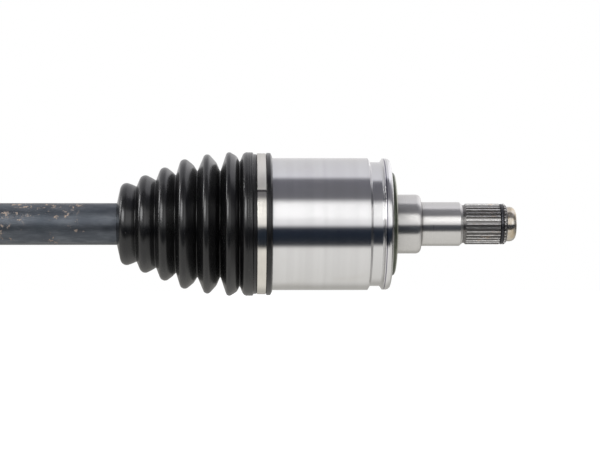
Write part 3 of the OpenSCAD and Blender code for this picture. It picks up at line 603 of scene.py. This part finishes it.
def outer_boot():
    folds, pitch, depth, crest_round, crease_round = 6, 12.0, 8.0, 3.0, 1.2
    large_crest, small_crest = 42.0, 23.0
    start = BELL_MOUTH + 2.5
    row = []
    for i in range(folds):
        crest_r = large_crest - (large_crest - small_crest) * i / (folds - 1)
        row.append([start + pitch * (i + 0.1), crest_r - depth + crease_round, crease_round, -1])
        row.append([start + pitch * (i + 0.55), crest_r - crest_round, crest_round, 1])
    step, neck_x = BELL_CUFF_STEP, start + pitch * folds
    out, seat = BELL_R + CUFF_WALL, BELL_R - SEAT_DEPTH + BOOT_FIT
    lip = rounded([
        (step - 0.3, BELL_R + BOOT_FIT), (step - 2.5, BELL_R + BOOT_FIT), (step - 2.5, BELL_R + 1),
        (step - 1.5, out + LIP_HEIGHT), (step + 0.9, out + LIP_HEIGHT), (step + 1, out),
        (step + 6.9, out), (step + 7, out + 0.8), (BELL_MOUTH + 2.3, out + 0.8), (start, out - 0.6)
    ], 0.45)
    neck = rounded([
        (neck_x + 1, NECK_OUT), (neck_x + 12, NECK_OUT), (neck_x + 12.1, NECK_OUT + 0.9),
        (neck_x + 14, NECK_OUT + 0.9), (neck_x + 14, NECK_IN), (neck_x + 0.5, NECK_IN)
    ], 0.4)
    inner = [(BELL_MOUTH + 0.5, seat), (step + 0.2, seat)]
    outside, inside = folded(row, -88, -88), folded(thinned(row, BOOT_WALL), -88, -88)
    return lathe("boot_outboard", lip + outside + neck + inside[::-1] + inner, "boot_black")


# How the boots follow the joints, in metres: each move shifts the vertices that the pose has bent

def point_values(obj, name, values):
    attribute = obj.data.attributes.new(name, "FLOAT", "POINT")
    attribute.data.foreach_set("value", values.astype(np.float32))


def rest_x(obj):
    """x of each vertex at rest, in metres."""
    co = np.zeros(len(obj.data.vertices) * 3)
    obj.data.vertices.foreach_get("co", co)
    return co[0::3]


def field(tree, name):
    n = node(tree, "GeometryNodeInputNamedAttribute", {"Name": name}, data_type="FLOAT")
    return n.outputs["Attribute"]


def body_info(tree, body, output):
    return node(tree, "GeometryNodeObjectInfo", {"Object": frame["bodies"][body]}).outputs[output]


def body_axis(tree, body, axis):
    """Where that axis of the body points in the present pose."""
    turn = body_info(tree, body, "Rotation")
    return node(tree, "FunctionNodeRotateVector", {"Vector": axis, "Rotation": turn}).outputs[0]


def new_move(name):
    tree = bpy.data.node_groups.new(name, "GeometryNodeTree")
    tree.interface.new_socket("Geometry", in_out="INPUT", socket_type="NodeSocketGeometry")
    tree.interface.new_socket("Geometry", in_out="OUTPUT", socket_type="NodeSocketGeometry")
    return tree


def add_move(obj, tree, offset):
    shape = tree.nodes.new("NodeGroupInput").outputs[0]
    moved = node(tree, "GeometryNodeSetPosition", {"Geometry": shape, "Offset": offset}).outputs[0]
    node(tree, "NodeGroupOutput", {0: moved})
    obj.modifiers.new(tree.name, "NODES").node_group = tree


def hold_cuff(obj, body, start, end):
    """The cuff stays on the housing while the tripod slides: vertices give back a share of the slide."""
    point_values(obj, "held", np.clip((rest_x(obj) - start) / (end - start), 0, 1) - 1)
    tree = new_move("hold cuff")
    add_move(obj, tree, scaled(tree, body_info(tree, body, "Location"), field(tree, "held")))


def keep_off_bar(obj, body, across, hinge, start, full, share):
    """The folds keep off the bar while the joint at x = hinge bends towards across.

    The bend takes each ring off the bar's axis. A ring gives back a share of that, which grows from 0 at
    start to share at full."""
    x = rest_x(obj)
    t = np.clip((x - start) / (full - start), 0, 1)
    point_values(obj, "given back", -share * t * t * (3 - 2 * t) * (x - hinge))
    tree = new_move("keep off bar")
    along, side = body_axis(tree, "shaft", (1, 0, 0)), body_axis(tree, "shaft", across)
    held = body_axis(tree, body, (1, 0, 0))
    sideways, straight = (vector_calc(tree, "DOT_PRODUCT", held, axis) for axis in (side, along))
    bend = calc(tree, "ARCTAN2", sideways, straight)
    ring_bend = product(tree, bend, calc(tree, "SUBTRACT", 1.0, field(tree, "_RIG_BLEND")))
    amount = product(tree, calc(tree, "SINE", ring_bend), field(tree, "given back"))
    add_move(obj, tree, scaled(tree, side, amount))


boot_in = inner_boot()
hold_cuff(boot_in, "tripod_carrier", start=-0.0916, end=-0.155)
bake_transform(boot_in, "tripod_carrier", "shaft", start=(-0.0916, 0, 0), end=(-0.155, 0, 0))
keep_off_bar(boot_in, "tripod_carrier", (0, 0, 1), hinge=-0.052, start=-0.0925, full=-0.104, share=0.3)
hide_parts("inner_boot")

boot_out = outer_boot()
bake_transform(boot_out, "bell", "shaft", start=(-0.4265, 0, 0), end=(-0.37, 0, 0))
keep_off_bar(boot_out, "bell", (0, 1, 0), hinge=-0.452, start=-0.4245, full=-0.412, share=0.64)
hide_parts("outer_boot")


# The wheel nut's thread and the lapped ends of the large clamps

def nut_thread():
    """Helical ridges over the threaded end, broken where the slot for staking the nut cuts through them."""
    per_turn, foot, flat = 96, 0.58, 0.14
    last = THREAD_TURNS * per_turn
    runs, loops = [], []
    for i in range(last + 1):
        a = 2 * math.pi * i / per_turn
        x = THREAD_X + THREAD_PITCH * i / per_turn
        if abs(math.degrees(a) % 360 - 90) < STAKE_HALF_ANGLE and x < STAKE_END_X:
            if len(loops) > 1:
                runs.append(loops)
            loops = []
            continue
        rise = min(1.0, 0.1 + i / per_turn, 0.1 + (last - i) / per_turn)
        top = THREAD_BASE + (THREAD_CREST - THREAD_BASE) * rise
        section = [(x - foot, THREAD_BASE), (x - flat, top), (x + flat, top), (x + foot, THREAD_BASE)]
        loops.append([(px, r, a) for px, r in section])
    runs.append(loops)
    return swept("nut_thread", runs, "turned_steel", "bell")


def clamp_lap(name, x, band_r, body):
    """The outer layer over a clamp band that starts at x; its foot is sunk in the band."""
    sunk, height, inset = 0.08, 0.25, 0.1
    low, high = band_r - sunk, band_r + height
    start, end = x + inset, x + BAND_LEN - inset
    section = [(start, low), (start, high), (end, high), (end, low)]
    turn = np.linspace(math.pi - LAP_END, math.pi - LAP_START, 60)
    return swept(name, [[[(px, r, float(a)) for px, r in section] for a in turn]], "stainless_band", body)


nut_thread()
clamp_lap("inner_clamp_lap", BAND_X, HOUSING_R + BAND_RISE, "tripod_housing")
clamp_lap("outer_clamp_lap", BELL_BAND_X, BELL_R + BAND_RISE, "bell")


# Floor, light and camera, in metres

def floor():
    """A pale floor with the axle's shadow, which glows for the camera alone, more so away from the axle."""
    half, height = 6, -0.25
    corners = [(x, y, height) for x, y in ((-half, -half), (half, -half), (half, half), (-half, half))]
    obj = new_object("floor", corners, [(0, 1, 2, 3)])
    mat = bpy.data.materials.new("floor")
    mat.use_nodes = True
    tree = mat.node_tree
    tree.nodes.clear()
    seen = node(tree, "ShaderNodeLightPath").outputs["Is Camera Ray"]
    plain = node(tree, "ShaderNodeBsdfDiffuse", {"Color": (0.5, 0.5, 0.5, 1.0)}).outputs[0]
    away = vector_calc(tree, "DISTANCE", object_point(tree), (-0.25, 0, 0))
    strength = ranged(tree, away, 0.25, 1.4, 0.12, 0.75)
    glow = node(tree, "ShaderNodeEmission", {"Color": (1, 1, 1, 1), "Strength": strength}).outputs[0]
    lit = node(tree, "ShaderNodeAddShader", {0: plain, 1: glow}).outputs[0]
    both = node(tree, "ShaderNodeMixShader", {0: seen, 1: plain, 2: lit}).outputs[0]
    node(tree, "ShaderNodeOutputMaterial", {"Surface": both})
    obj.data.materials.append(mat)
    obj.visible_glossy = False


# What the metal mirrors, by the angle round the axle in degrees: 0 is the camera's side and 90 is above.
# A black card lies just below the camera's height, a dark grey one above it, and the rest is lighter.
ROOM = [
    (-180, (0.42, 0.41, 0.39)), (-142, (0.58, 0.57, 0.54)), (-120, (0.94, 0.93, 0.90)),
    (-60, (1.06, 1.05, 1.03)), (-43, (1.06, 1.05, 1.03)), (-37, (0.03, 0.035, 0.045)),
    (-20, (0.018, 0.026, 0.042)), (-7, (0.018, 0.026, 0.045)), (-1, (1.08, 1.08, 1.1)),
    (16, (1.12, 1.12, 1.13)), (38, (0.92, 0.92, 0.93)), (45, (0.19, 0.19, 0.21)),
    (84, (0.175, 0.175, 0.205)), (91, (0.92, 0.92, 0.98)), (180, (0.86, 0.85, 0.85)),
]


def studio():
    """The room, lighter towards the right and dark at its far right; the camera sees white in its place."""
    world = bpy.data.worlds.new("studio")
    bpy.context.scene.world = world
    world.use_nodes = True
    tree = world.node_tree
    tree.nodes.clear()
    way = node(tree, "ShaderNodeTexCoord").outputs["Generated"]
    parts = node(tree, "ShaderNodeSeparateXYZ", {"Vector": way}).outputs
    angle = angle_from(tree, way, -1.0)
    ramp = node(tree, "ShaderNodeValToRGB", {
        "Fac": ranged(tree, angle, -math.pi, math.pi, 0.0, 1.0, smooth=False)
    })
    elements = ramp.color_ramp.elements
    elements.remove(elements[1])
    elements[0].position, elements[0].color = 0.0, (*ROOM[0][1], 1.0)
    for degrees, colour in ROOM[1:]:
        elements.new((degrees + 180) / 360).color = (*colour, 1.0)
    right = ranged(tree, parts["X"], 0.1, 0.45, 0.0, 0.7)
    upper_right = product(tree, right, rising(tree, parts["Z"], -0.4, 0.1))
    strength = product(tree, total(tree, upper_right, 1.0), ranged(tree, parts["X"], 0.6, 1.0, 1.0, 0.1))
    colour = ramp.outputs["Color"]
    room = node(tree, "ShaderNodeBackground", {"Color": colour, "Strength": strength}).outputs[0]
    white = node(tree, "ShaderNodeBackground", {"Color": (1, 1, 1, 1), "Strength": 1.0}).outputs[0]
    seen = node(tree, "ShaderNodeLightPath").outputs["Is Camera Ray"]
    both = node(tree, "ShaderNodeMixShader", {0: seen, 1: room, 2: white}).outputs[0]
    node(tree, "ShaderNodeOutputWorld", {"Surface": both})


def lamp(name, azimuth, elevation, distance, width, height, radiance, mirrored=True):
    """A rectangular lamp that faces the joint from that direction; azimuth 0 is the camera's side.

    One that isn't mirrored lights the surfaces but doesn't show as a reflection in them."""
    data = bpy.data.lights.new(name, "AREA")
    data.shape = "RECTANGLE"
    data.size, data.size_y = width, height
    data.energy = radiance * math.pi * width * height
    obj = bpy.data.objects.new(name, data)
    bpy.context.scene.collection.objects.link(obj)
    a, e = math.radians(azimuth), math.radians(elevation)
    back = Vector((math.sin(a) * math.cos(e), -math.cos(a) * math.cos(e), math.sin(e)))
    joint = Vector((-0.1, 0, 0))
    obj.location = joint + back * distance
    obj.rotation_mode = "QUATERNION"
    obj.rotation_quaternion = (-back).to_track_quat("-Z", "Y")
    obj.visible_camera = False
    obj.visible_glossy = mirrored


def camera():
    """A camera level with the axle, whose picture is 366 mm wide at the axle's axis."""
    sensor, picture_width = 36.0, 0.366
    data = bpy.data.cameras.new("camera")
    obj = bpy.data.objects.new("camera", data)
    bpy.context.scene.collection.objects.link(obj)
    place, aim = Vector((-0.0968, -1.2, 0.0)), Vector((-0.0578, 0, -0.0006))
    data.sensor_width = sensor
    data.lens = sensor * (aim - place).length / picture_width
    data.clip_start, data.clip_end = 0.05, 50.0
    obj.location = place
    obj.rotation_mode = "QUATERNION"
    obj.rotation_quaternion = (aim - place).to_track_quat("-Z", "Y")
    bpy.context.scene.camera = obj


floor()
studio()
lamp("front light", azimuth=-42, elevation=22, distance=1.6, width=1.15, height=0.75, radiance=6.8)
lamp("side light", azimuth=-100, elevation=20, distance=1.6, width=0.3, height=0.9, radiance=8.0)
lamp("top light", azimuth=0, elevation=75, distance=1.8, width=1.4, height=1.4, radiance=5, mirrored=False)
camera()
bpy.context.scene.view_settings.view_transform = "Standard"
